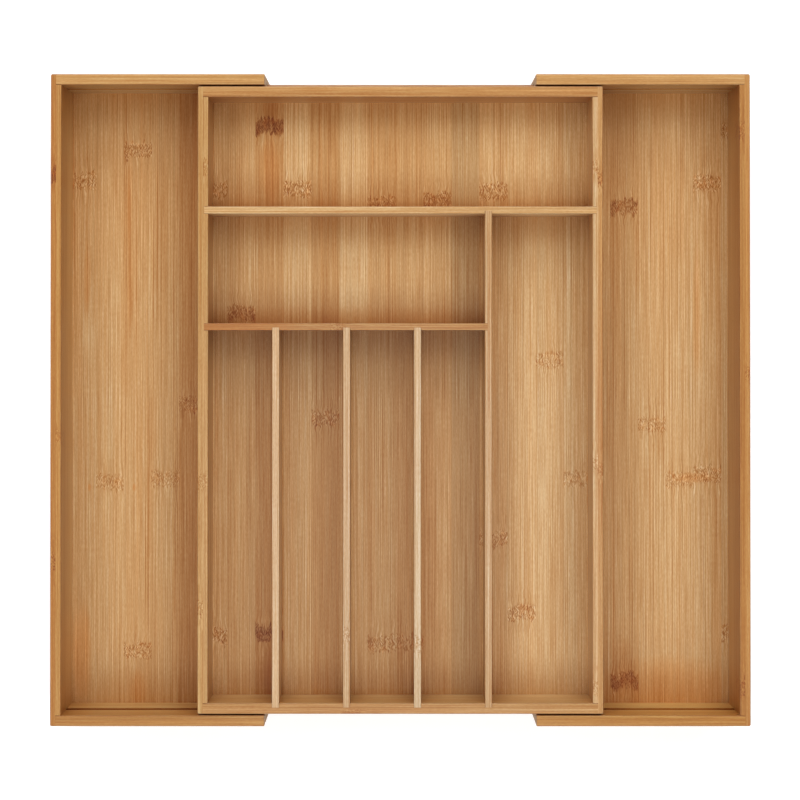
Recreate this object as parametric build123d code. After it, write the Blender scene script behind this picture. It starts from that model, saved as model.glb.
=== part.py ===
from build123d import *
import os

# An expanding bamboo drawer organizer, in millimetres. A centre tray with seven compartments sits
# between two U-shaped wings. A rail on the tray's back and on its front runs in a groove in the
# wings' arms, so each wing slides in and out along X. The model stands with both wings pulled out.
# The origin is the middle of the underside: +X to the right, +Y to the back, +Z up.

# Stock
WALL = 7.5              # thickness of the walls and of the wings' arms
DIVIDER = 5.0           # thickness of the dividers
PANEL = 4.0             # thickness of the floor panels

# Overall sizes
HEIGHT = 62.0           # the wings' walls stand on the drawer's bottom and rise this far
TRAY_WIDTH = 280.0      # centre tray, along X
TRAY_DEPTH = 433.0      # centre tray, along Y
OPEN_WIDTH = 483.0      # along X, with both wings pulled out
OVERLAP = 46.25         # length of arm that stays beside the tray with the wing pulled out
SIDE_GAP = 1.0          # between the tray's wall and an arm

# Heights above the drawer's bottom
WING_PANEL_Z = 3.0      # underside of a wing's floor panel
TRAY_WALL_Z = 10.0      # lower edge of the tray's walls, clear above the wings' floors
TRAY_PANEL_Z = 20.0     # underside of the tray's floor panel
SLIDE_Z = 34.5          # middle of the rails and of the grooves that they run in

# Compartments in the tray
BACK_BAY = 75.6         # clear depth of the compartment across the back
MIDDLE_BAY = 75.6       # clear depth of the compartment in front of it, on the left
RIGHT_BAY = 69.2        # clear width of the long compartment on the right
SLOTS = 4               # equal slots at the front left

# Joinery
PANEL_HOUSING = 3.0     # how far a floor panel is let into the walls round it
WALL_DADO = 3.0         # how far a divider's end is let into a wall
DIVIDER_DADO = 2.0      # how far a divider's end is let into another divider
LAP = WALL / 2          # thickness of the lip at a side wall's lapped ends
RAIL_SEAT = 2.0         # how far a rail is let into the tray's wall

# Slides
RAIL_HEIGHT = 7.4
RAIL_PROUD = 3.6        # how far a rail stands out from the tray's wall
GROOVE_HEIGHT = 8.0
GROOVE_DEPTH = 3.6

# Eased edges
TOP_ROUND = 0.8         # top edges of walls and arms
DIVIDER_ROUND = 0.5     # top edges of dividers
CORNER_ROUND = 1.2      # upright outer corners
EDGE_EASE = 0.4         # lower edges and cut ends
RAIL_EASE = 0.5

# Worked out from the values above
TRAY_X = TRAY_WIDTH / 2
TRAY_Y = TRAY_DEPTH / 2
TRAY_INNER_X = TRAY_X - WALL
TRAY_INNER_Y = TRAY_Y - WALL
TRAY_FLOOR_Z = TRAY_PANEL_Z + PANEL
WING_X = OPEN_WIDTH / 2
WING_INNER_X = WING_X - WALL
WING_INNER_Y = TRAY_Y + SIDE_GAP
WING_Y = WING_INNER_Y + WALL
ARM_END_X = TRAY_X - OVERLAP

BACK_DIVIDER_Y = TRAY_INNER_Y - BACK_BAY - DIVIDER / 2
MIDDLE_DIVIDER_Y = BACK_DIVIDER_Y - MIDDLE_BAY - DIVIDER
LONG_DIVIDER_X = TRAY_INNER_X - RIGHT_BAY - DIVIDER / 2
SLOT_WIDTH = (LONG_DIVIDER_X + TRAY_INNER_X - (SLOTS - 0.5) * DIVIDER) / SLOTS
SLOT_DIVIDERS_X = [
    n * (SLOT_WIDTH + DIVIDER) - DIVIDER / 2 - TRAY_INNER_X for n in range(1, SLOTS)
]


def block(x, y, z):
    """A plain box that fills the ranges x, y and z, each given as (lowest, highest)."""
    corner = Pos(x[0], y[0], z[0])
    return corner * Box(x[1] - x[0], y[1] - y[0], z[1] - z[0], align=(Align.MIN,) * 3)


def about(middle, width):
    """The range of that width about its middle."""
    return (middle - width / 2, middle + width / 2)


def outward(side, inner, outer):
    """The range between two distances from the middle, on side -1 or +1."""
    return tuple(sorted((side * inner, side * outer)))


def board(x, y, z, grain, top_round):
    """A planed board along the grain axis, with its long edges eased."""
    planed = block(x, y, z)
    upper = planed.edges().filter_by(grain).group_by(Axis.Z)[-1]
    planed = fillet(upper, top_round)
    lower = planed.edges().filter_by(grain).group_by(Axis.Z)[0]
    return chamfer(lower, EDGE_EASE)


def side_board(side, outer_x, half_depth, bottom):
    """A side wall before its joints are cut. Its upright outer corners are rounded as well."""
    x = outward(side, outer_x - WALL, outer_x)
    wall = block(x, (-half_depth, half_depth), (bottom, HEIGHT))
    uprights = wall.edges().filter_by(Axis.Z)
    outer_corners = uprights.group_by(Axis.X)[0 if side < 0 else -1]
    wall = fillet(outer_corners, CORNER_ROUND)
    wall = fillet(wall.faces().sort_by(Axis.Z)[-1].edges(), TOP_ROUND)
    return chamfer(wall.faces().sort_by(Axis.Z)[0].edges(), EDGE_EASE)


def lap_ends(wall, side, outer_x, half_depth):
    """Cuts the inner half of a side wall's two ends away, for the walls or arms that meet it."""
    x = outward(side, outer_x - WALL, outer_x - LAP)
    for end in (-1, 1):
        y = outward(end, half_depth - WALL, half_depth)
        wall -= block(x, y, (0, HEIGHT))
    return wall


def tray_side_wall(side):
    """The tray's left or right wall: lapped ends, a housing for the floor, and dados."""
    wall = lap_ends(side_board(side, TRAY_X, TRAY_Y, TRAY_WALL_Z), side, TRAY_X, TRAY_Y)
    housing = outward(side, TRAY_INNER_X, TRAY_INNER_X + PANEL_HOUSING)
    wall -= block(housing, (-TRAY_INNER_Y, TRAY_INNER_Y), (TRAY_PANEL_Z, TRAY_FLOOR_Z))
    dado = outward(side, TRAY_INNER_X, TRAY_INNER_X + WALL_DADO)
    dividers_y = [BACK_DIVIDER_Y] if side > 0 else [BACK_DIVIDER_Y, MIDDLE_DIVIDER_Y]
    for y in dividers_y:
        wall -= block(dado, about(y, DIVIDER), (TRAY_FLOOR_Z, HEIGHT))
    return wall


def tray_end_wall(end):
    """The tray's back or front wall: a housing for the floor, and a seat for its rail."""
    half_length = TRAY_X - LAP
    x = (-half_length, half_length)
    wall = board(x, outward(end, TRAY_INNER_Y, TRAY_Y), (TRAY_WALL_Z, HEIGHT), Axis.X, TOP_ROUND)
    housing = outward(end, TRAY_INNER_Y, TRAY_INNER_Y + PANEL_HOUSING)
    wall -= block(x, housing, (TRAY_PANEL_Z, TRAY_FLOOR_Z))
    seat = outward(end, TRAY_Y - RAIL_SEAT, TRAY_Y)
    wall -= block(x, seat, about(SLIDE_Z, RAIL_HEIGHT))
    return wall


def tray_front_wall():
    """The front wall, with dados for the long divider and the slot dividers."""
    wall = tray_end_wall(-1)
    dado = outward(-1, TRAY_INNER_Y, TRAY_INNER_Y + WALL_DADO)
    for x in [LONG_DIVIDER_X, *SLOT_DIVIDERS_X]:
        wall -= block(about(x, DIVIDER), dado, (TRAY_FLOOR_Z, HEIGHT))
    return wall


def tray_floor():
    """The tray's floor panel, whose four edges are let into the walls."""
    half_x = TRAY_INNER_X + PANEL_HOUSING
    half_y = TRAY_INNER_Y + PANEL_HOUSING
    return block((-half_x, half_x), (-half_y, half_y), (TRAY_PANEL_Z, TRAY_FLOOR_Z))


def back_divider():
    """The divider across the whole tray, with a dado for the long divider."""
    half_length = TRAY_INNER_X + WALL_DADO
    y = about(BACK_DIVIDER_Y, DIVIDER)
    z = (TRAY_FLOOR_Z, HEIGHT)
    divider = board((-half_length, half_length), y, z, Axis.X, DIVIDER_ROUND)
    return divider - block(about(LONG_DIVIDER_X, DIVIDER), (y[0], y[0] + DIVIDER_DADO), z)


def middle_divider():
    """The divider from the left wall to the long divider, with dados for the slot dividers."""
    x = (-TRAY_INNER_X - WALL_DADO, LONG_DIVIDER_X - DIVIDER / 2 + DIVIDER_DADO)
    y = about(MIDDLE_DIVIDER_Y, DIVIDER)
    z = (TRAY_FLOOR_Z, HEIGHT)
    divider = board(x, y, z, Axis.X, DIVIDER_ROUND)
    for slot_x in SLOT_DIVIDERS_X:
        divider -= block(about(slot_x, DIVIDER), (y[0], y[0] + DIVIDER_DADO), z)
    return divider


def long_divider():
    """The divider from the back divider to the front wall, with a dado for the middle divider."""
    x = about(LONG_DIVIDER_X, DIVIDER)
    y = (-TRAY_INNER_Y - WALL_DADO, BACK_DIVIDER_Y - DIVIDER / 2 + DIVIDER_DADO)
    z = (TRAY_FLOOR_Z, HEIGHT)
    divider = board(x, y, z, Axis.Y, DIVIDER_ROUND)
    return divider - block((x[0], x[0] + DIVIDER_DADO), about(MIDDLE_DIVIDER_Y, DIVIDER), z)


def slot_divider(middle_x):
    """One of the short dividers between the middle divider and the front wall."""
    y = (-TRAY_INNER_Y - WALL_DADO, MIDDLE_DIVIDER_Y - DIVIDER / 2 + DIVIDER_DADO)
    return board(about(middle_x, DIVIDER), y, (TRAY_FLOOR_Z, HEIGHT), Axis.Y, DIVIDER_ROUND)


def rail(end):
    """The slide strip on the tray's back or front wall. Its two outer long edges are eased."""
    half_length = TRAY_X - LAP
    y = outward(end, TRAY_Y - RAIL_SEAT, TRAY_Y + RAIL_PROUD)
    strip = block((-half_length, half_length), y, about(SLIDE_Z, RAIL_HEIGHT))
    outer_edges = strip.edges().filter_by(Axis.X).group_by(Axis.Y)[0 if end < 0 else -1]
    return chamfer(outer_edges, RAIL_EASE)


def wing_side_wall(side):
    """A wing's side wall: lapped ends, and a housing for the wing's floor."""
    wall = lap_ends(side_board(side, WING_X, WING_Y, 0), side, WING_X, WING_Y)
    housing = outward(side, WING_INNER_X, WING_INNER_X + PANEL_HOUSING)
    z = (WING_PANEL_Z, WING_PANEL_Z + PANEL)
    return wall - block(housing, (-WING_INNER_Y, WING_INNER_Y), z)


def wing_arm(side, end):
    """A wing's back or front arm, with the rail's groove and the floor's housing in its inner face."""
    x = outward(side, ARM_END_X, WING_X - LAP)
    arm = board(x, outward(end, WING_INNER_Y, WING_Y), (0, HEIGHT), Axis.X, TOP_ROUND)
    free_end = arm.faces().sort_by(Axis.X)[-1 if side < 0 else 0]
    arm = chamfer(free_end.edges().filter_by(Axis.Z), EDGE_EASE)
    groove = outward(end, WING_INNER_Y, WING_INNER_Y + GROOVE_DEPTH)
    arm -= block(x, groove, about(SLIDE_Z, GROOVE_HEIGHT))
    housing = outward(end, WING_INNER_Y, WING_INNER_Y + PANEL_HOUSING)
    return arm - block(x, housing, (WING_PANEL_Z, WING_PANEL_Z + PANEL))


def wing_floor(side):
    """A wing's floor panel, let into the side wall and both arms."""
    x = outward(side, ARM_END_X, WING_INNER_X + PANEL_HOUSING)
    half_y = WING_INNER_Y + PANEL_HOUSING
    return block(x, (-half_y, half_y), (WING_PANEL_Z, WING_PANEL_Z + PANEL))


def tray_parts():
    """Every piece of the centre tray, by name."""
    parts = {
        "centre_floor": tray_floor(),
        "centre_left_wall": tray_side_wall(-1),
        "centre_right_wall": tray_side_wall(1),
        "centre_back_wall": tray_end_wall(1),
        "centre_front_wall": tray_front_wall(),
        "back_divider": back_divider(),
        "middle_divider": middle_divider(),
        "long_divider": long_divider(),
        "back_rail": rail(1),
        "front_rail": rail(-1),
    }
    for number, x in enumerate(SLOT_DIVIDERS_X, start=1):
        parts[f"slot_divider_{number}"] = slot_divider(x)
    return parts


def wing_parts(name, side):
    """Every piece of one wing, by name. Side is -1 for the left wing and +1 for the right."""
    return {
        f"{name}_floor": wing_floor(side),
        f"{name}_side_wall": wing_side_wall(side),
        f"{name}_back_arm": wing_arm(side, 1),
        f"{name}_front_arm": wing_arm(side, -1),
    }


all_parts = {**tray_parts(), **wing_parts("left_wing", -1), **wing_parts("right_wing", 1)}
os.makedirs("parts", exist_ok=True)
for node, shape in all_parts.items():
    export_step(shape, f"parts/{node}.step")
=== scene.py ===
import math

import bpy
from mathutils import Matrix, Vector


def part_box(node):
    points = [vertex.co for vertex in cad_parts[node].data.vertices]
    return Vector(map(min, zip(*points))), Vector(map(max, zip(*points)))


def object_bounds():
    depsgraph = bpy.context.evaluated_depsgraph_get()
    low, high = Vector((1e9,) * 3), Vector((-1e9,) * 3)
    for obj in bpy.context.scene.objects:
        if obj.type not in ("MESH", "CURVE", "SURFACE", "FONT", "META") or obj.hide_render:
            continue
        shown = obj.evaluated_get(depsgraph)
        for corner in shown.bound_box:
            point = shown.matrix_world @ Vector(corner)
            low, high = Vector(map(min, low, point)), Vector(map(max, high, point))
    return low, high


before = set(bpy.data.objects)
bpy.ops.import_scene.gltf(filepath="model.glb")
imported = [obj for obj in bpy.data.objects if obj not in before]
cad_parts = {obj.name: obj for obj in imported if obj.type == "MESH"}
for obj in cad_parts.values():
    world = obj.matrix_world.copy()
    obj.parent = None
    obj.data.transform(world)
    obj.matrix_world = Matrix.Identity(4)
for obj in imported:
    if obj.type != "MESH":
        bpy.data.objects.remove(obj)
cad_low, cad_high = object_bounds()

MM = 0.001
AXES = {"X": 0, "Y": 1, "Z": 2}

# Laminated bamboo. Strips lie side by side, and the walls have two plies of them. A strip's cell
# is its number, counted from the board's first strip, plus FURTHER_PLY in the further ply.
STRIP = 19.8 * MM
WALL_STRIP = (cad_high.z - cad_low.z + 1 * MM) / 3
FURTHER_PLY = 10.0
TOP_STRIP = 2
FURTHER_TOP = TOP_STRIP + FURTHER_PLY
GLUE_LINE = 0.35 * MM
GLUE_DARKNESS = 0.10

# Colours are linear
FLOOR = (0.53, 0.30, 0.117)
END_GRAIN = (0.46, 0.31, 0.18)
END_PORES = (0.27, 0.18, 0.10)

# What one unit of darkness, or of warmth, multiplies a colour by
DARKER = (0.595, 0.368, 0.183)
WARMER = (1.060, 0.960, 0.840)

# What the darkest knots multiply it by, and the painted shade that darkens the rounded top edges of the
# uprights where they would catch light
STAINED = (0.440, 0.250, 0.130)
EDGE_SHADE = (0.74, 0.70, 0.66)

# The darkness of a floor strip that isn't of the usual tone, and how far strips differ by chance
PALE = -0.16
PALISH = -0.07
DARKISH = 0.09
DARK = 0.18
DARKEST = 0.34
FLOOR_SPREAD = 0.06
UPRIGHT_SPREAD = 0.10

# Streaks along the grain: width and length in millimetres, and how much they darken
FIBRES = (
    (10.0, 260.0, 0.18), (2.4, 200.0, 0.06), (0.8, 150.0, 0.26),
    (0.5, 3.0, 0.55), (0.5, 26.0, 0.85), (0.5, 170.0, 1.20),
)
DARK_LINES = (0.75, 200.0, 0.38)
LINES_MEAN = 0.07       # taken off again, so that a board keeps about the same mean tone

# The same with how much they warm
WARM_STREAKS = (1.8, 260.0, 1.2)
WARM_FIBRES = (1.0, 120.0, 1.4)

# Where a floor warms toward its back
WARM_FROM = 40 * MM
WARM_TO = 190 * MM
TRAY_WARM_BEHIND = 0.35
WING_WARM_BEHIND = 0.70

# Half the length of a knot, and of the stretch of bent fibres round it: each is whole within the
# first distance and gone past the second
KNOT_REACH = (4.6 * MM, 6.2 * MM)
BEND_REACH = (4 * MM, 26 * MM)
KNOT_LEAN = 0.42        # how far the dashes in a knot lean to either side
KNOT_WARMTH = 0.9

# Painted light and shade on a face inside the organizer: its darkness at its bottom and at its top, and
# its warmth.
# Below 0 the face is painted lighter, above 0 darker.
FACE = (-0.65, 0.35, 0.0)
FRONT_FACE = (-1.05, -0.20, 0.6)
BACK_FACE = (-0.35, 0.30, -1.0)
DIVIDER_FACE = (0.10, 0.25, 0.0)
OWN_FACES = {
    "centre_front_wall": (-1.30, -0.30, 0.4),
    "centre_back_wall": (-1.10, 0.45, -0.1),
    "back_divider": (0.10, -0.55, 0.5),
    "middle_divider": (0.50, 0.50, 0.0),
}
# Painted shade inside the grooves of the front arms and of the back arms
FRONT_GROOVE_SHADE = 0.40
BACK_GROOVE_SHADE = 0.10

# Painted shade in corners, from an ambient occlusion node: its darkness and warmth, and how far out
# that reaches.
# A gap between two boards hides far more, and is painted darker still.
CORNER_SHADE_DARKNESS = 0.55
CORNER_SHADE_WARMTH = 0.70
CORNER_REACH = 27 * MM
GAP_SHADE_DARKNESS = 1.6

# The shade at the back of a divider: how far it reaches, its darkness and its warmth
DIVIDER_SHADES = (("middle_divider", 15 * MM, 0.34, 0.3), ("back_divider", 11 * MM, 0.26, 0.0))

# Lacquer
ROUGHNESS = 0.46
RELIEF_ROUGHNESS = 0.25
CUT_END_ROUGHNESS = 0.30
FLOOR_GLOSS = 0.15
UPRIGHT_GLOSS = 0.50

# The studio. Its floor glows more the further a point is from the object.
STAGE_HALF = 12.0
STAGE_DROP = 0.1 * MM
STAGE_GLOW = 0.36
STAGE_FAR_GLOW = 0.46
SOFTBOX_DISTANCE = 2.6
SOFTBOX_SIZE = 1.4
SOFTBOX_AIM = Vector((0.0, 0.0, 0.03))
OVERHEAD_PLACE = Vector((0.0, -0.20, 1.75))
OVERHEAD_SIZE = 0.5
OVERHEAD_POWER = 3.2
WORLD_STRENGTH = 0.05
HORIZON_STRENGTH = 0.80

# Name, angle round from +X and height above the floor in degrees, and power
SOFTBOXES = (
    ("back_right", 45, 50, 22.5), ("back_left", 135, 50, 18.5), ("front_left", 225, 50, 18.0),
    ("front_right", 315, 50, 19.5), ("back", 90, 32, 27.0), ("front", 270, 22, 8.0),
    ("left", 180, 22, 8.0),
)

CAMERA_SENSOR = 36.0
CAMERA_LENS = 101.35
CAMERA_SHIFT = -0.1003
CAMERA_RIGHT = -0.25 * MM
CAMERA_BACK = 40.8 * MM
CAMERA_ABOVE = 1.554
CAMERA_TILT = 0.53


class Graph:
    """Adds shader nodes to one tree. Each input takes a number, a colour or another node's output."""

    def __init__(self, tree):
        self.tree = tree

    def feed(self, socket, value):
        if isinstance(value, bpy.types.NodeSocket):
            self.tree.links.new(value, socket)
        else:
            socket.default_value = value

    def add(self, kind, inputs, **settings):
        node = self.tree.nodes.new(kind)
        for name, value in settings.items():
            setattr(node, name, value)
        for name, value in inputs.items():
            self.feed(node.inputs[name], value)
        return node

    def math(self, operation, a, b=0.0, c=0.0):
        return self.add("ShaderNodeMath", {0: a, 1: b, 2: c}, operation=operation).outputs[0]

    def step(self, value, low, high):
        """0 below low and 1 above high, smooth in between. High may be the lower one."""
        inputs = {"Value": value, "From Min": low, "From Max": high}
        node = self.add("ShaderNodeMapRange", inputs, interpolation_type="SMOOTHSTEP")
        return node.outputs["Result"]

    def mix(self, factor, a, b, blend="MIX"):
        node = self.add("ShaderNodeMix", {"Factor": factor}, data_type="RGBA", blend_type=blend)
        self.feed(node.inputs[6], a if isinstance(a, bpy.types.NodeSocket) else (*a, 1.0))
        self.feed(node.inputs[7], b if isinstance(b, bpy.types.NodeSocket) else (*b, 1.0))
        return node.outputs[2]

    def tint(self, colour, multiplier, amount):
        """The colour times the multiplier to the power of the amount."""
        power = self.add("ShaderNodeGamma", {"Color": (*multiplier, 1.0), "Gamma": amount})
        return self.mix(1.0, colour, power.outputs[0], "MULTIPLY")

    def random(self, value):
        """Three random numbers that stay the same for the same value."""
        node = self.add("ShaderNodeTexWhiteNoise", {"W": value}, noise_dimensions="1D")
        return self.add("ShaderNodeSeparateColor", {"Color": node.outputs["Color"]}).outputs

    def noise(self, place, width, length, offset=0.0):
        """Noise about 0, whose blobs have that width and length along the grain, in metres."""
        scaled = [self.math("DIVIDE", p, s) for p, s in zip(place, (width, length, width))]
        scaled[1] = self.math("ADD", scaled[1], offset)
        point = self.add("ShaderNodeCombineXYZ", {0: scaled[0], 1: scaled[1], 2: scaled[2]})
        inputs = {"Vector": point.outputs[0], "Scale": 1.0, "Detail": 1.0}
        node = self.add("ShaderNodeTexNoise", inputs, noise_dimensions="3D")
        return self.math("SUBTRACT", node.outputs[0], 0.5)

    def layer(self, place, kind, offset):
        """Noise of a listed width and length in millimetres, times the listed strength."""
        width, length, strength = kind
        return self.math("MULTIPLY", self.noise(place, width * MM, length * MM, offset), strength)

    def total(self, first, *others):
        for other in others:
            first = self.math("ADD", first, other)
        return first


def strip_cells(graph, place, board):
    """The cell that a point is in, 1 in the further ply, and 1 on a glue line."""
    strips = graph.math("DIVIDE", graph.math("SUBTRACT", place[0], board["start"]), board["strip"])
    strip = graph.math("FLOOR", strips)
    to_edge = graph.math("PINGPONG", strips, 0.5)
    seam = graph.step(to_edge, GLUE_LINE / board["strip"], 0.0)
    if board["ply_edge"] is None:
        return strip, 0.0, seam
    ply = graph.math("GREATER_THAN", place[2], board["ply_edge"])
    glue = graph.math("ABSOLUTE", graph.math("SUBTRACT", place[2], board["ply_edge"]))
    seam = graph.math("MAXIMUM", seam, graph.step(glue, GLUE_LINE, 0.0))
    return graph.math("MULTIPLY_ADD", ply, FURTHER_PLY, strip), ply, seam


def listed_amount(graph, cell, amounts):
    """The amount listed for the cell that a point is in, or 0."""
    amount = 0.0
    for number, listed in amounts.items():
        inside = graph.math("COMPARE", cell, float(number), 0.5)
        amount = graph.math("MULTIPLY_ADD", inside, listed, amount)
    return amount


# A tint is a pair: what something adds to the darkness, and to the warmth


def strip_tint(graph, place, board, cell, seam, chance):
    """Each strip's own tone, its glue lines, and the drift from one end of the board to the other."""
    drawn = graph.math("MULTIPLY_ADD", chance, board["spread"], -board["spread"] / 2)
    along = graph.math("SUBTRACT", place[1], board["middle"])
    drift = graph.math("MULTIPLY", along, board["drift"])
    tone = listed_amount(graph, cell, board["tones"])
    glue = graph.math("MULTIPLY", seam, GLUE_DARKNESS)
    grey = listed_amount(graph, cell, board["greys"])
    return graph.total(drawn, drift, tone, glue), graph.math("MULTIPLY", grey, -1.0)


def fibre_tint(graph, place, shift):
    """The fibres' darkness and warmth, and their relief, which comes from the finest of them."""
    layers = [graph.layer(place, kind, shift) for kind in FIBRES]
    width, length, darkness = DARK_LINES
    lines = graph.noise(place, width * MM, length * MM, graph.math("ADD", shift, 13.0))
    lines = graph.step(lines, 0.04, 0.22)
    layers.append(graph.math("MULTIPLY_ADD", lines, darkness, -LINES_MEAN))
    streaks = graph.layer(place, WARM_STREAKS, graph.math("ADD", shift, 7.0))
    fibres = graph.layer(place, WARM_FIBRES, graph.math("ADD", shift, 3.0))
    relief = graph.math("ADD", layers[-1], layers[-2])
    return (graph.total(*layers), graph.math("ADD", streaks, fibres)), relief


def knot_masks(graph, place, cell, board):
    """Where the culm's nodes cross the strips: the knot itself, the stretch of bent fibres round
    it, and how far a strength above 1 stains it."""
    ragged = graph.noise(place, width=1.1 * MM, length=30 * MM)
    wavy = graph.noise(place, width=7.0 * MM, length=60 * MM)
    along = graph.math("MULTIPLY_ADD", ragged, 10 * MM, place[1])
    along = graph.math("MULTIPLY_ADD", wavy, 9 * MM, along)
    core, flow, stain = 0.0, 0.0, 0.0
    for knot_cell, knot_along, strength in board["knots"]:
        inside = graph.math("COMPARE", cell, float(knot_cell), 0.5)
        ragged_gap = graph.math("ABSOLUTE", graph.math("SUBTRACT", along, knot_along))
        gap = graph.math("ABSOLUTE", graph.math("SUBTRACT", place[1], knot_along))
        knot = graph.math("MULTIPLY", graph.step(ragged_gap, *reversed(KNOT_REACH)), inside)
        bent = graph.math("MULTIPLY", graph.step(gap, *reversed(BEND_REACH)), inside)
        core = graph.math("MAXIMUM", core, graph.math("MULTIPLY", knot, min(strength, 1.0)))
        flow = graph.math("MAXIMUM", flow, graph.math("MULTIPLY", bent, min(strength, 1.0)))
        if strength > 1.0:
            stain = graph.math("MAXIMUM", stain, graph.math("MULTIPLY", knot, strength - 1.0))
    return core, flow, stain


def bent_place(graph, place, shift, flow):
    """The place moved a little across the grain, so that fibres wander round a knot."""
    wander = graph.noise(place, width=5 * MM, length=11 * MM, offset=shift)
    bend = graph.math("MULTIPLY", graph.math("MULTIPLY", wander, 4 * MM), flow)
    return [graph.math("ADD", place[0], bend), place[1], place[2]]


def knot_tint(graph, place, fibre_place, shift, core, flow):
    """Short dashes that lean both ways in the knot, trails above and below it, and warm patches."""
    strokes = []
    for lean in (KNOT_LEAN, -KNOT_LEAN):
        leaning = [graph.math("MULTIPLY_ADD", place[1], lean, place[0]), place[1], place[2]]
        strokes.append(graph.noise(leaning, width=0.70 * MM, length=3.0 * MM, offset=shift))
    side = graph.noise(place, width=2.4 * MM, length=3.4 * MM, offset=shift)
    side = graph.step(side, -0.04, 0.04)
    other = graph.math("SUBTRACT", strokes[1], strokes[0])
    dashes = graph.math("MULTIPLY_ADD", side, other, strokes[0])
    dashes = graph.math("MAXIMUM", graph.math("MULTIPLY_ADD", dashes, 4.8, 0.22), -0.30)
    trails = graph.noise(fibre_place, width=1.1 * MM, length=14 * MM, offset=shift)
    trails = graph.math("ADD", trails, 0.04)
    in_knot = graph.math("MULTIPLY", dashes, core)
    round_knot = graph.math("MULTIPLY", trails, flow)
    patches = graph.noise(place, width=3.5 * MM, length=6 * MM, offset=shift)
    patches = graph.math("MULTIPLY", graph.step(patches, 0.02, 0.16), core)
    return graph.math("ADD", in_knot, round_knot), graph.math("MULTIPLY", patches, KNOT_WARMTH)


def stain_tint(graph, place, board):
    """A board's stains, each a soft oval along the grain."""
    darkness, warmth = 0.0, 0.0
    for across, along, width, length, dark, warm in board["stains"]:
        aside = graph.math("SUBTRACT", place[board["stain_axis"]], across)
        aside = graph.math("DIVIDE", aside, width / 2)
        ahead = graph.math("DIVIDE", graph.math("SUBTRACT", place[1], along), length / 2)
        far = graph.math("MULTIPLY_ADD", aside, aside, graph.math("MULTIPLY", ahead, ahead))
        oval = graph.step(far, 1.0, 0.0)
        darkness = graph.math("MULTIPLY_ADD", oval, dark, darkness)
        warmth = graph.math("MULTIPLY_ADD", oval, warm, warmth)
    return darkness, warmth


def shade_tint(graph, place, board):
    """The shade on the floor at the back of each divider that runs from left to right."""
    darkness, warmth = 0.0, 0.0
    for node, reach, dark, warm in board["shades"]:
        low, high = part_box(node)
        beside = graph.math("COMPARE", place[0], (low.x + high.x) / 2, (high.x - low.x) / 2)
        behind = graph.math("GREATER_THAN", place[1], high.y - 1 * MM)
        near = graph.step(place[1], high.y + reach, high.y)
        shaded = graph.math("MULTIPLY", graph.math("MULTIPLY", beside, behind), near)
        darkness = graph.math("MULTIPLY_ADD", shaded, dark, darkness)
        warmth = graph.math("MULTIPLY_ADD", shaded, warm, warmth)
    return darkness, warmth


def painted_face_shading(graph, normal, place, board):
    """Painted light and shade on the faces inside the organizer, lighter or darker by height, with
    painted shade inside a groove. Place is in X, Y and Z here."""
    through = AXES[board["through"]]
    inward = graph.math("MULTIPLY", normal[through], board["inward"])
    if board["inward"] == 0.0:
        inward = graph.math("ABSOLUTE", normal[through])
    inner = graph.step(inward, 0.6, 0.9)
    rise = graph.step(place[2], cad_low.z, cad_high.z)
    bottom, top, warm = board["face"]
    darkness = graph.math("MULTIPLY", graph.math("MULTIPLY_ADD", rise, top - bottom, bottom), inner)
    if board["groove"]:
        low, high, edge = board["groove"]
        height = graph.math("COMPARE", place[2], (low + high) / 2, (high - low) / 2)
        depth = graph.math("MULTIPLY", place[through], -board["inward"])
        cut = graph.math("MULTIPLY", height, graph.math("GREATER_THAN", depth, edge))
        darkness = graph.math("MULTIPLY_ADD", cut, board["groove_shade"], darkness)
    return darkness, graph.math("MULTIPLY", inner, warm)


def painted_corner_shade(graph):
    """Painted shade in corners and in the gaps between boards."""
    corner = graph.add("ShaderNodeAmbientOcclusion", {"Distance": CORNER_REACH}, samples=6)
    hidden = graph.math("SUBTRACT", 1.0, corner.outputs["AO"])
    gap = graph.math("MULTIPLY", graph.step(hidden, 0.70, 0.95), GAP_SHADE_DARKNESS)
    darkness = graph.math("MULTIPLY_ADD", hidden, CORNER_SHADE_DARKNESS, gap)
    return darkness, graph.math("MULTIPLY", hidden, CORNER_SHADE_WARMTH)


def shaded_edge(graph, normal):
    """Where painted shade darkens a board's rounded top edges: 1 where a surface turns from level to
    upright.
    """
    level = graph.math("ABSOLUTE", normal[2])
    turned = graph.step(level, 0.985, 0.88)
    return graph.math("MULTIPLY", turned, graph.step(level, 0.15, 0.45))


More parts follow.
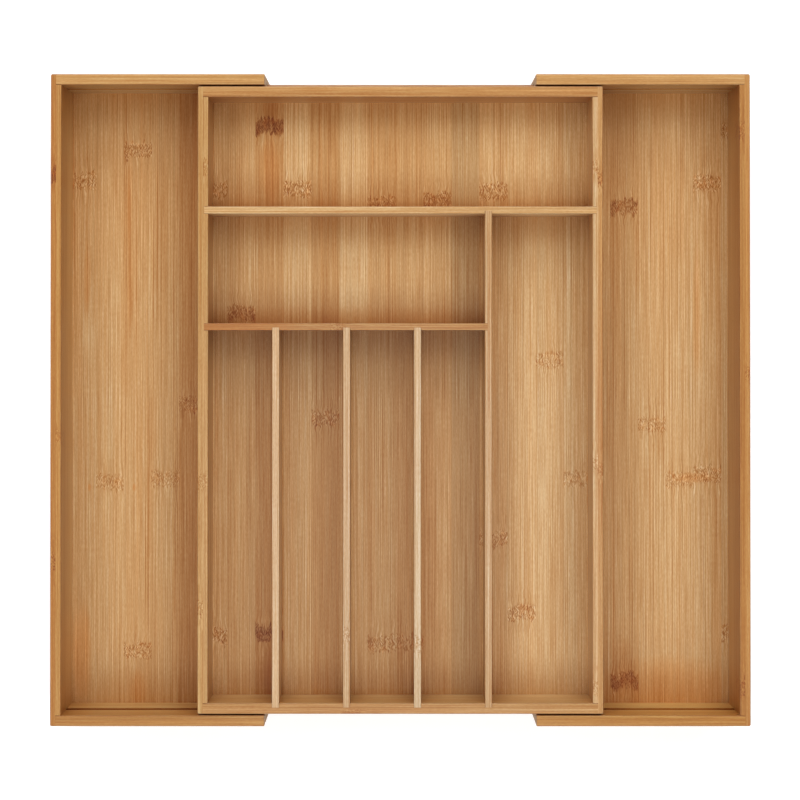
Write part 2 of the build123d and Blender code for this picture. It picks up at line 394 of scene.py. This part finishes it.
def bamboo_colour(graph, normal, point, place, board):
    """The colour, the fibres' relief, and 1 on a cut end, where the fibres face outward. Normal and
    point are in X, Y and Z, and place is across the strips, along the grain and through the board."""
    cell, ply, seam = strip_cells(graph, place, board)
    chance = graph.random(graph.math("ADD", cell, board["seed"]))
    shift = graph.math("MULTIPLY", chance[0], 50.0)     # gives each strip its own fibres

    tints = [strip_tint(graph, place, board, cell, seam, chance[1])]
    fibre_place = place
    if board["knots"]:
        core, flow, stain = knot_masks(graph, place, cell, board)
        fibre_place = bent_place(graph, place, shift, flow)
        tints.append(knot_tint(graph, place, fibre_place, shift, core, flow))
    fibres, relief = fibre_tint(graph, fibre_place, shift)
    # The last of these is painted shade in corners and in the gaps between boards
    tints += [fibres, stain_tint(graph, place, board), painted_corner_shade(graph)]
    if board["warm_behind"]:
        behind = graph.step(place[1], WARM_FROM, WARM_TO)
        tints.append((0.0, graph.math("MULTIPLY", behind, board["warm_behind"])))
    if board["shades"]:
        tints.append(shade_tint(graph, place, board))
    # Painted light and shade on the inner faces, and painted shade inside the grooves
    if board["face"]:
        tints.append(painted_face_shading(graph, normal, point, board))

    colour = graph.mix(ply, board["near"], board["far"])
    colour = graph.tint(colour, DARKER, graph.total(*(darkness for darkness, _ in tints)))
    colour = graph.tint(colour, WARMER, graph.total(*(warmth for _, warmth in tints)))
    if board["knots"]:
        blotch = graph.noise(place, width=4 * MM, length=8 * MM, offset=shift)
        blotch = graph.step(blotch, -0.30, 0.06)
        colour = graph.tint(colour, STAINED, graph.math("MULTIPLY", blotch, stain))
    # Painted shade on the rounded top edges of the uprights
    if board["face"]:
        colour = graph.tint(colour, EDGE_SHADE, shaded_edge(graph, normal))

    facing = graph.math("ABSOLUTE", normal[AXES[board["grain"]]])
    cut_end = graph.step(facing, 0.6, 0.9)
    pores = graph.step(graph.noise(place, width=0.6 * MM, length=0.6 * MM), -0.08, 0.12)
    end_colour = graph.mix(pores, END_GRAIN, END_PORES)
    return graph.mix(cut_end, colour, end_colour), relief, cut_end


def bamboo(name, board):
    """Lacquered bamboo strips: streaked fibres, strips of slightly different tone, and knots."""
    material = bpy.data.materials.new(name)
    material.use_nodes = True
    material.node_tree.nodes.clear()
    graph = Graph(material.node_tree)

    coordinates = graph.add("ShaderNodeTexCoord", {})
    normal = graph.add("ShaderNodeSeparateXYZ", {0: coordinates.outputs["Normal"]}).outputs
    point = graph.add("ShaderNodeSeparateXYZ", {0: coordinates.outputs["Object"]}).outputs
    place = [point[AXES[board[axis]]] for axis in ("across", "grain", "through")]
    colour, relief, cut_end = bamboo_colour(graph, normal, point, place, board)

    roughness = graph.math("MULTIPLY_ADD", relief, RELIEF_ROUGHNESS, ROUGHNESS)
    roughness = graph.math("MULTIPLY_ADD", cut_end, CUT_END_ROUGHNESS, roughness)
    bump = graph.add("ShaderNodeBump", {"Height": relief, "Strength": 0.25, "Distance": 0.10 * MM})
    inputs = {"Base Color": colour, "Roughness": roughness, "Normal": bump.outputs[0]}
    shader = graph.add("ShaderNodeBsdfPrincipled", inputs)
    shader.inputs["Specular IOR Level"].default_value = 0.25
    shader.inputs["Coat Weight"].default_value = board["gloss"]
    if board["face"]:
        bare_end = graph.math("MULTIPLY_ADD", cut_end, -board["gloss"], board["gloss"])
        graph.feed(shader.inputs["Coat Weight"], bare_end)
    shader.inputs["Coat Roughness"].default_value = 0.20
    output = graph.add("ShaderNodeOutputMaterial", {"Surface": shader.outputs[0]})
    output.is_active_output = True
    return material


def in_metres(marks):
    """The stains of a board. Marks are (across, along, width, length, darkness, warmth), with the
    first four in millimetres."""
    return [(MM * x, MM * y, MM * w, MM * l, dark, warm) for x, y, w, l, dark, warm in marks]


def floor_board(node, first_edge, seed, tones, knots, marks, greys):
    """A floor panel, whose grain runs from front to back. First edge is where its first strip
    starts. Tones and greys list how dark and how cool some strips are. Knots are (strip, share of
    the depth from the front, strength)."""
    low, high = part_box(node)
    depth = high.y - low.y
    in_tray = node == "centre_floor"
    return {
        "across": "X", "grain": "Y", "through": "Z", "start": first_edge, "strip": STRIP,
        "ply_edge": None, "middle": (low.y + high.y) / 2, "drift": 0.0, "seed": seed,
        "spread": FLOOR_SPREAD, "tones": tones, "greys": greys, "near": FLOOR, "far": FLOOR,
        "knots": [(strip, low.y + share * depth, strength) for strip, share, strength in knots],
        "gloss": FLOOR_GLOSS, "face": None, "groove": None, "stain_axis": 0,
        "warm_behind": TRAY_WARM_BEHIND if in_tray else WING_WARM_BEHIND,
        "shades": DIVIDER_SHADES if in_tray else (), "stains": in_metres(marks),
    }


def face_shading_of(node):
    """The painted light and shade of a board's inner face: its darkness at its bottom and its top, and
    its warmth.
    """
    if node in OWN_FACES:
        return OWN_FACES[node]
    if "divider" in node:
        return DIVIDER_FACE
    if "front" in node:
        return FRONT_FACE
    return BACK_FACE if "back" in node else FACE


def arm_groove(low, high, side):
    """The lowest and highest point of a wing arm's groove, and how far out its mouth is."""
    rail_low, rail_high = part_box("back_rail")
    inner_plane = min(abs(low[side]), abs(high[side]))
    return rail_low.z - 0.4 * MM, rail_high.z + 0.4 * MM, inner_plane + 0.1 * MM


def upright_board(node, seed, near, far=None, drift=0.0, knots=(), marks=()):
    """A wall, arm, divider or rail that stands on its edge. Near is the colour of its ply with the
    lower X or Y, and far of the other, where there are two. Drift is how much darker it gets from
    one end to the other. Knots are (cell, share of the length, strength). A mark's across is
    through the board, from its near side to its far side."""
    low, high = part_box(node)
    size = high - low
    grain = "X" if size.x > size.y else "Y"
    through = "Y" if grain == "X" else "X"
    axis, side = AXES[grain], AXES[through]
    middle = (low + high) / 2
    inward = 0.0 if "divider" in node else -math.copysign(1.0, middle[side])
    return {
        "across": "Z", "grain": grain, "through": through, "start": 0.0, "strip": WALL_STRIP,
        "ply_edge": middle[side] if far else None, "middle": middle[axis],
        "drift": drift / size[axis], "seed": seed, "spread": UPRIGHT_SPREAD, "tones": {},
        "greys": {}, "near": near, "far": far or near,
        "knots": [(cell, low[axis] + share * size[axis], s) for cell, share, s in knots],
        "gloss": UPRIGHT_GLOSS, "face": face_shading_of(node), "inward": inward,
        "groove": arm_groove(low, high, side) if node.endswith("_arm") else None,
        "groove_shade": FRONT_GROOVE_SHADE if "front" in node else BACK_GROOVE_SHADE,
        "warm_behind": 0.0, "shades": (), "stain_axis": 2, "stains": in_metres(marks),
    }


left_low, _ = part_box("left_wing_floor")
tray_low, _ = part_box("centre_floor")
_, right_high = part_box("right_wing_floor")
divider_low, divider_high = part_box("middle_divider")
divider_middle = (divider_low.y + divider_high.y) / 2 / MM

FLOORS = {
    "left_wing_floor": {
        "first_edge": left_low.x,
        "seed": 11.0,
        # Strip 4, next to the tray, is darker partly in its own tone and partly as painted shade from
        # the tray's wall
        "tones": {0: PALE, 2: DARKISH, 3: DARKISH, 4: DARKEST},
        "greys": {},
        "knots": [
            (2, 0.90, 1.0), (0, 0.85, 0.9), (4, 0.49, 0.9), (1, 0.364, 0.7), (3, 0.369, 0.7),
            (2, 0.091, 0.9),
        ],
        "marks": [
            (-227, -182, 18, 84, 0.10, 1.3), (-187, -208, 15, 34, 0.15, 0.9),
            (-194, 134, 3, 80, 0.25, 0.9), (-222, -64, 3, 7, 0.10, 1.8),
            (-190, -64, 3, 7, 0.10, 1.5), (-224, 86, 7, 60, 0.14, 0.7),
            (-193, 76, 6, 80, 0.12, 0.6),
        ],
    },
    "centre_floor": {
        "first_edge": tray_low.x - 0.33 * STRIP,
        "seed": 23.0,
        "tones": {
            0: PALE, 2: DARK, 3: PALISH, 4: DARK, 5: PALE, 6: DARKISH, 7: DARKISH, 9: DARK,
            10: PALISH, 11: PALISH, 13: PALE,
        },
        "greys": {9: 1.1, 12: 0.3, 13: 0.4},
        "knots": [
            (2, 0.953, 1.6), (3, 0.848, 1.0), (0, 0.848, 0.8), (1, 0.64, 1.1), (6, 0.82, 0.9),
            (8, 0.831, 1.1), (10, 0.848, 0.9), (4, 0.468, 0.9), (2, 0.109, 1.45),
            (0, 0.105, 1.0), (6, 0.092, 0.8), (7, 0.094, 0.7), (12, 0.564, 0.6),
            (13, 0.367, 0.6), (10, 0.264, 0.8), (11, 0.144, 0.9),
        ],
        "marks": [
            (-115, -80, 60, 360, 0.08, 0.0), (35, -60, 60, 330, 0.0, 0.4),
            (-92, -195, 18, 50, 0.42, 0.3), (-92, 162, 18, 60, 0.14, 0.9),
            (-92, 204, 15, 20, 0.30, 0.2),
        ],
    },
    "right_wing_floor": {
        "first_edge": right_high.x - 7.4 * STRIP,
        "seed": 37.0,
        # Strip 3, toward the tray, is darker partly in its own tone and partly as painted shade from
        # the tray's wall
        "tones": {2: PALISH, 3: DARKISH, 5: PALISH, 6: PALE, 7: PALE},
        "greys": {6: -0.2, 7: 0.7},
        "knots": [
            (3, 0.81, 1.3), (6, 0.845, 1.0), (7, 0.935, 0.9), (4, 0.456, 0.7), (5, 0.367, 0.7),
            (6, 0.376, 0.9), (7, 0.120, 1.0), (3, 0.042, 1.35),
        ],
        "marks": [
            (210, -57, 34, 9, 0.0, 0.9), (212, 62, 8, 120, 0.10, 0.8),
            (190, -208, 120, 56, 0.10, 1.2), (159, -192, 22, 50, 0.22, 0.3),
        ],
    },
}

UPRIGHTS = {
    "left_wing_side_wall": {
        "seed": 50.0, "near": (0.37, 0.145, 0.028), "far": (0.41, 0.185, 0.043),
        "knots": [(TOP_STRIP, 0.846, 1.4), (FURTHER_TOP, 0.442, 0.5), (TOP_STRIP, 0.251, 1.0)],
    },
    "right_wing_side_wall": {
        "seed": 51.0, "near": (0.36, 0.145, 0.029), "far": (0.40, 0.175, 0.041), "drift": -0.08,
        "knots": [(TOP_STRIP, 0.914, 0.9), (FURTHER_TOP, 0.541, 0.6), (TOP_STRIP, 0.061, 0.8)],
    },
    "left_wing_back_arm": {"seed": 52.0, "near": (0.48, 0.25, 0.079), "far": (0.48, 0.255, 0.080)},
    "right_wing_back_arm": {"seed": 53.0, "near": (0.46, 0.235, 0.073), "far": (0.47, 0.24, 0.074)},
    "left_wing_front_arm": {
        "seed": 54.0, "near": (0.40, 0.18, 0.042), "far": (0.36, 0.155, 0.034), "drift": -0.15,
    },
    "right_wing_front_arm": {"seed": 55.0, "near": (0.41, 0.185, 0.041), "far": (0.39, 0.175, 0.035)},
    "centre_left_wall": {
        "seed": 56.0, "near": (0.43, 0.22, 0.066), "far": (0.42, 0.215, 0.067),
        "knots": [
            (FURTHER_TOP, 0.870, 0.5), (TOP_STRIP, 0.369, 0.5), (FURTHER_TOP, 0.375, 0.5),
            (TOP_STRIP, 0.168, 0.7),
        ],
    },
    "centre_right_wall": {
        "seed": 57.0, "near": (0.50, 0.29, 0.124), "far": (0.43, 0.21, 0.066),
        "knots": [
            (TOP_STRIP, 0.870, 0.6), (FURTHER_TOP, 0.852, 0.9), (TOP_STRIP, 0.400, 0.5),
            (FURTHER_TOP, 0.390, 0.5), (TOP_STRIP, 0.045, 0.6),
        ],
    },
    "centre_back_wall": {
        "seed": 58.0, "near": (0.39, 0.175, 0.048), "far": (0.43, 0.205, 0.060), "drift": 0.08,
    },
    "centre_front_wall": {
        "seed": 59.0, "near": (0.43, 0.21, 0.065), "far": (0.39, 0.185, 0.052), "drift": -0.10,
        "knots": [(TOP_STRIP, 0.385, 0.5)],
    },
    "back_divider": {"seed": 60.0, "near": (0.51, 0.29, 0.113)},
    "middle_divider": {
        "seed": 61.0, "near": (0.36, 0.16, 0.042), "drift": -0.20,
        "knots": [(TOP_STRIP, 0.47, 0.6)],
        "marks": [(divider_middle, -112, 30, 100, 0.12, 1.1)],
    },
    "long_divider": {"seed": 62.0, "near": (0.44, 0.245, 0.103)},
    "slot_divider_1": {"seed": 63.0, "near": (0.50, 0.30, 0.143)},
    "slot_divider_2": {"seed": 64.0, "near": (0.45, 0.26, 0.116), "knots": [(TOP_STRIP, 0.190, 0.6)]},
    "slot_divider_3": {"seed": 65.0, "near": (0.50, 0.33, 0.175), "knots": [(TOP_STRIP, 0.160, 0.5)]},
    "back_rail": {"seed": 66.0, "near": (0.50, 0.27, 0.095)},
    "front_rail": {"seed": 67.0, "near": (0.50, 0.27, 0.095)},
}


def dress_pieces():
    """Gives each CAD node its own bamboo."""
    boards = {name: floor_board(name, **settings) for name, settings in FLOORS.items()}
    boards.update({name: upright_board(name, **settings) for name, settings in UPRIGHTS.items()})
    for name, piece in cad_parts.items():
        piece.data.materials.clear()
        piece.data.materials.append(bamboo(f"{name}_bamboo", boards[name]))


def stage_floor():
    """A plain white floor that glows a little, more so far from the object, so that it stays
    white where the softboxes don't reach."""
    half = STAGE_HALF
    z = cad_low.z - STAGE_DROP
    corners = [(-half, -half, z), (half, -half, z), (half, half, z), (-half, half, z)]
    mesh = bpy.data.meshes.new("studio_floor")
    mesh.from_pydata(corners, [], [(0, 1, 2, 3)])
    floor = bpy.data.objects.new("studio_floor", mesh)
    bpy.context.scene.collection.objects.link(floor)
    material = bpy.data.materials.new("studio_white")
    material.use_nodes = True
    graph = Graph(material.node_tree)
    coordinates = graph.add("ShaderNodeTexCoord", {})
    distance = graph.add("ShaderNodeVectorMath", {0: coordinates.outputs["Object"]}, operation="LENGTH")
    far = graph.step(distance.outputs["Value"], 0.5, 3.5)
    glow = graph.math("MULTIPLY_ADD", far, STAGE_FAR_GLOW, STAGE_GLOW)
    shader = material.node_tree.nodes["Principled BSDF"]
    shader.inputs["Base Color"].default_value = (0.9, 0.9, 0.9, 1.0)
    shader.inputs["Roughness"].default_value = 0.9
    shader.inputs["Emission Color"].default_value = (0.96, 0.98, 1.0, 1.0)
    graph.feed(shader.inputs["Emission Strength"], glow)
    mesh.materials.append(material)


def softbox(name, centre, size, power):
    """A square softbox, aimed at the object, that the camera doesn't see."""
    data = bpy.data.lights.new(name, "AREA")
    data.shape = "SQUARE"
    data.size = size
    data.energy = power
    lamp = bpy.data.objects.new(name, data)
    lamp.location = centre
    lamp.rotation_mode = "QUATERNION"
    lamp.rotation_quaternion = (SOFTBOX_AIM - centre).to_track_quat("-Z", "Y")
    lamp.visible_camera = False
    bpy.context.scene.collection.objects.link(lamp)


def studio_lights():
    """The softboxes round the object, four of them high over its corners, and a small one overhead."""
    for name, angle, height, power in SOFTBOXES:
        turn, rise = math.radians(angle), math.radians(height)
        level = math.cos(rise)
        toward = Vector((math.cos(turn) * level, math.sin(turn) * level, math.sin(rise)))
        softbox(name, toward * SOFTBOX_DISTANCE, SOFTBOX_SIZE, power)
    softbox("overhead", OVERHEAD_PLACE, OVERHEAD_SIZE, OVERHEAD_POWER)


def world_light():
    """White, faint high up and strong near the horizon."""
    world = bpy.data.worlds.new("studio_world")
    world.use_nodes = True
    graph = Graph(world.node_tree)
    coordinates = graph.add("ShaderNodeTexCoord", {})
    direction = graph.add("ShaderNodeSeparateXYZ", {0: coordinates.outputs["Generated"]})
    horizon = graph.step(direction.outputs["Z"], 0.25, 0.05)
    strength = graph.math("MULTIPLY_ADD", horizon, HORIZON_STRENGTH, WORLD_STRENGTH)
    background = world.node_tree.nodes["Background"]
    background.inputs["Color"].default_value = (1.0, 1.0, 1.0, 1.0)
    graph.feed(background.inputs["Strength"], strength)
    bpy.context.scene.world = world


def photo_camera():
    """Over the object, a little behind its middle and almost straight down, with the lens shifted
    so that the object is in the middle of the picture."""
    data = bpy.data.cameras.new("camera")
    data.sensor_width = CAMERA_SENSOR
    data.lens = CAMERA_LENS
    data.shift_y = CAMERA_SHIFT
    data.clip_end = 50.0
    camera = bpy.data.objects.new("camera", data)
    camera.location = (CAMERA_RIGHT, CAMERA_BACK, cad_high.z + CAMERA_ABOVE)
    camera.rotation_euler.x = math.radians(CAMERA_TILT)
    bpy.context.scene.collection.objects.link(camera)
    bpy.context.scene.camera = camera


dress_pieces()
stage_floor()
studio_lights()
world_light()
photo_camera()
bpy.context.scene.view_settings.view_transform = "Standard"
bpy.context.scene.view_settings.look = "None"
